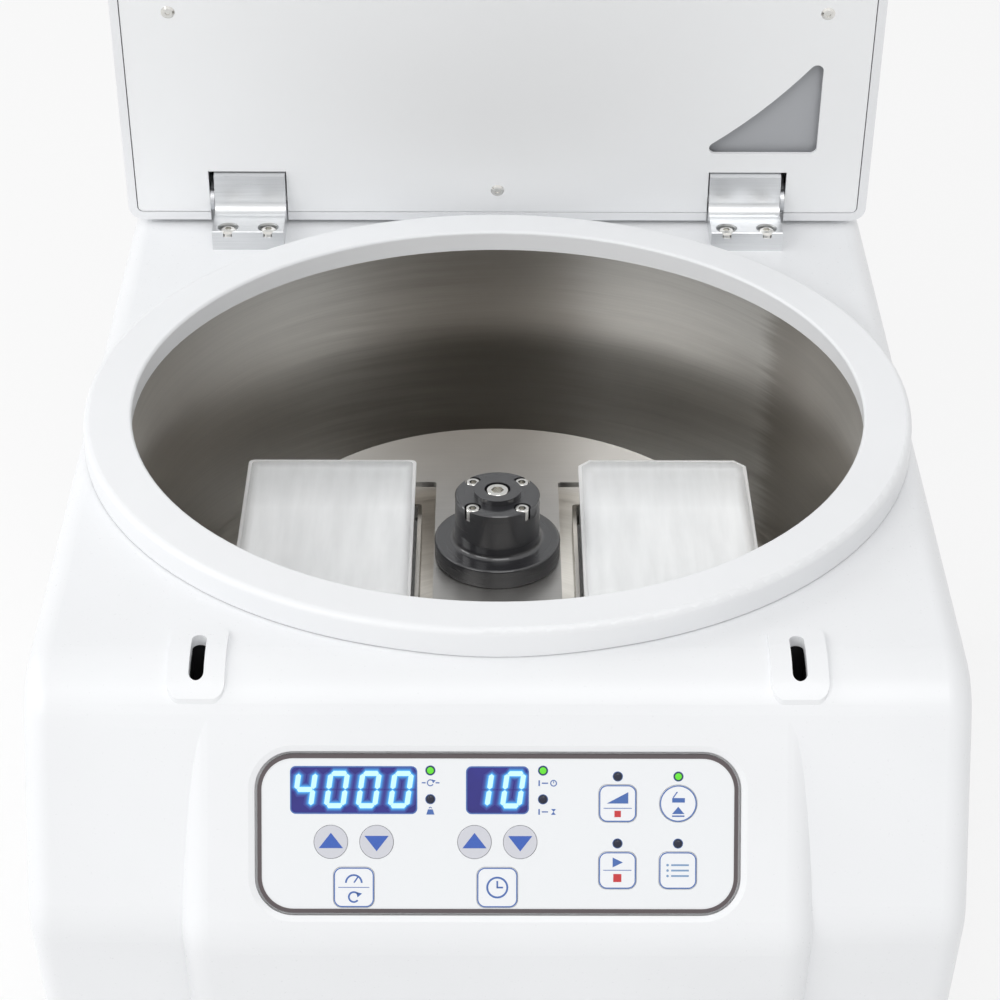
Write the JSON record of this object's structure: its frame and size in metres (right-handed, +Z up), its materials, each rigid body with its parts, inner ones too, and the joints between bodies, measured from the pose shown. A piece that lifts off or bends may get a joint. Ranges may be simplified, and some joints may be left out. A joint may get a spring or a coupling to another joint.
{
  "type": "bench centrifuge",
  "caption": "Bench-top centrifuge with a hinged lid standing open, a round steel bowl, a swing-out rotor for deep-well plates and a sloping control panel.",
  "frame": {"origin": "on the bench surface, under the axis of the bowl, at the centre of the whole object's footprint", "axes": "+Z up along the rotor's axis, -Y to the front with the control panel, +X to the right seen from the front"},
  "size_m": [0.399, 0.5195, 0.7391],
  "materials": {
    "housing_white": "satin gloss moulded plastic",
    "ring_white": "satin gloss moulded plastic",
    "lid_white": "satin gloss moulded plastic",
    "liner_white": "fine textured powder coat",
    "plate_grey": "plain sheet steel",
    "pan_grey": "powder coat",
    "bowl_steel": "circumferentially brushed",
    "yoke_aluminium": "bead blasted and brushed",
    "hinge_aluminium": "satin anodised",
    "hub_black": "gloss black anodised",
    "bright_steel": "polished stainless",
    "shaft_steel": "ground",
    "black_plastic": "matte",
    "rubber_black": "matte",
    "rubber_grey": "matte",
    "bezel_brown": "satin",
    "overlay_white": "satin film",
    "key_white": "satin film",
    "key_grey": "satin film",
    "display_blue": "glossy window",
    "led_lens": "glossy lens",
    "board_green": "solder mask",
    "brass": "plain",
    "zinc_steel": "zinc plated",
    "motor_grey": "cast",
    "plate_natural": "translucent natural polypropylene"
  },
  "bodies": {
    "root": {"housing": "housing_white", "base_pan": "pan_grey", "rubber_feet": "rubber_black", "rear_panel": "pan_grey", "rear_screws": "zinc_steel", "chamber_ring": "ring_white", "bowl": "bowl_steel", "shaft_boot": "rubber_black", "motor_housing": "motor_grey", "motor_plate": "zinc_steel", "motor_mounts": "rubber_grey", "panel_bezel": "bezel_brown", "panel_overlay": "overlay_white", "speed_display": "display_blue", "time_display": "display_blue", "indicator_leds": "led_lens", "control_board": "board_green", "board_standoffs": "brass", "drive_board": "board_green", "drive_board_standoffs": "brass", "mains_inlet": "black_plastic", "rocker_frame": "black_plastic", "lock_housing_left": "black_plastic", "lock_housing_right": "black_plastic", "lock_actuator": "black_plastic", "hinge_arm_left": "hinge_aluminium", "hinge_arm_right": "hinge_aluminium", "hinge_pins": "bright_steel", "hinge_screws": "bright_steel"},
    "lid": {"lid_shell": "lid_white", "lid_liner": "liner_white", "lid_stiffener": "plate_grey", "lid_screws": "bright_steel", "strikers": "bright_steel", "lid_bracket_left": "zinc_steel", "lid_bracket_right": "zinc_steel"},
    "rotor": {"rotor_yoke": "yoke_aluminium", "rotor_hub": "hub_black", "rotor_cap": "hub_black", "cap_screws": "bright_steel", "rotor_bolt": "bright_steel", "motor_shaft": "shaft_steel", "shaft_collar": "yoke_aluminium", "trunnion_pins": "bright_steel"},
    "left_carrier": {"carrier_left": "bright_steel"},
    "right_carrier": {"carrier_right": "bright_steel"},
    "left_plate": {"well_plate_left": "plate_natural"},
    "right_plate": {"well_plate_right": "plate_natural"},
    "lock_slider": {"lock_bar": "zinc_steel"},
    "rocker": {"power_rocker": "black_plastic"},
    "speed_up_button": {"key_speed_up": "key_grey"},
    "speed_down_button": {"key_speed_down": "key_grey"},
    "time_up_button": {"key_time_up": "key_grey"},
    "time_down_button": {"key_time_down": "key_grey"},
    "speed_button": {"key_speed": "key_white"},
    "time_button": {"key_time": "key_white"},
    "soft_start_button": {"key_soft_start": "key_white"},
    "start_stop_button": {"key_start_stop": "key_white"},
    "program_button": {"key_program": "key_white"},
    "lid_release_button": {"key_lid_release": "key_white"}
  },
  "joints": [
    {"name": "lid_hinge", "type": "hinge", "parent": "root", "child": "lid", "pos_m": [0, 0.2085, 0.3125], "axis": [1, 0, 0], "range_deg": [0, 82], "stiffness_Nm_per_rad": 3, "springref_deg": -40.11},
    {"name": "rotor_spin", "type": "hinge", "parent": "root", "child": "rotor", "pos_m": [0, 0, 0.215], "axis": [0, 0, 1], "continuous": true},
    {"name": "left_carrier_swing", "type": "hinge", "parent": "rotor", "child": "left_carrier", "pos_m": [-0.084, 0, 0.2129], "axis": [0, 1, 0], "range_deg": [0, 90]},
    {"name": "right_carrier_swing", "type": "hinge", "parent": "rotor", "child": "right_carrier", "pos_m": [0.084, 0, 0.2129], "axis": [0, -1, 0], "range_deg": [0, 90]},
    {"name": "left_plate_lift", "type": "slide", "parent": "left_carrier", "child": "left_plate", "axis": [0, 0, 1], "range_m": [0, 0.03]},
    {"name": "right_plate_lift", "type": "slide", "parent": "right_carrier", "child": "right_plate", "axis": [0, 0, 1], "range_m": [0, 0.03]},
    {"name": "lock_slide", "type": "slide", "parent": "root", "child": "lock_slider", "axis": [1, 0, 0], "range_m": [0, 0.01]},
    {"name": "rocker_tilt", "type": "hinge", "parent": "root", "child": "rocker", "pos_m": [-0.06, 0.25327, 0.092], "axis": [-1, 0, 0], "range_deg": [0, 12]},
    {"name": "speed_up_press", "type": "slide", "parent": "root", "child": "speed_up_button", "axis": [0, 0.8829, -0.4695], "range_m": [0, 0.0005], "stiffness_N_per_m": 1500},
    {"name": "speed_down_press", "type": "slide", "parent": "root", "child": "speed_down_button", "axis": [0, 0.8829, -0.4695], "range_m": [0, 0.0005], "stiffness_N_per_m": 1500},
    {"name": "time_up_press", "type": "slide", "parent": "root", "child": "time_up_button", "axis": [0, 0.8829, -0.4695], "range_m": [0, 0.0005], "stiffness_N_per_m": 1500},
    {"name": "time_down_press", "type": "slide", "parent": "root", "child": "time_down_button", "axis": [0, 0.8829, -0.4695], "range_m": [0, 0.0005], "stiffness_N_per_m": 1500},
    {"name": "speed_press", "type": "slide", "parent": "root", "child": "speed_button", "axis": [0, 0.8829, -0.4695], "range_m": [0, 0.0005], "stiffness_N_per_m": 1500},
    {"name": "time_press", "type": "slide", "parent": "root", "child": "time_button", "axis": [0, 0.8829, -0.4695], "range_m": [0, 0.0005], "stiffness_N_per_m": 1500},
    {"name": "soft_start_press", "type": "slide", "parent": "root", "child": "soft_start_button", "axis": [0, 0.8829, -0.4695], "range_m": [0, 0.0005], "stiffness_N_per_m": 1500},
    {"name": "start_stop_press", "type": "slide", "parent": "root", "child": "start_stop_button", "axis": [0, 0.8829, -0.4695], "range_m": [0, 0.0005], "stiffness_N_per_m": 1500},
    {"name": "program_press", "type": "slide", "parent": "root", "child": "program_button", "axis": [0, 0.8829, -0.4695], "range_m": [0, 0.0005], "stiffness_N_per_m": 1500},
    {"name": "lid_release_press", "type": "slide", "parent": "root", "child": "lid_release_button", "axis": [0, 0.8829, -0.4695], "range_m": [0, 0.0005], "stiffness_N_per_m": 1500}
  ]
}
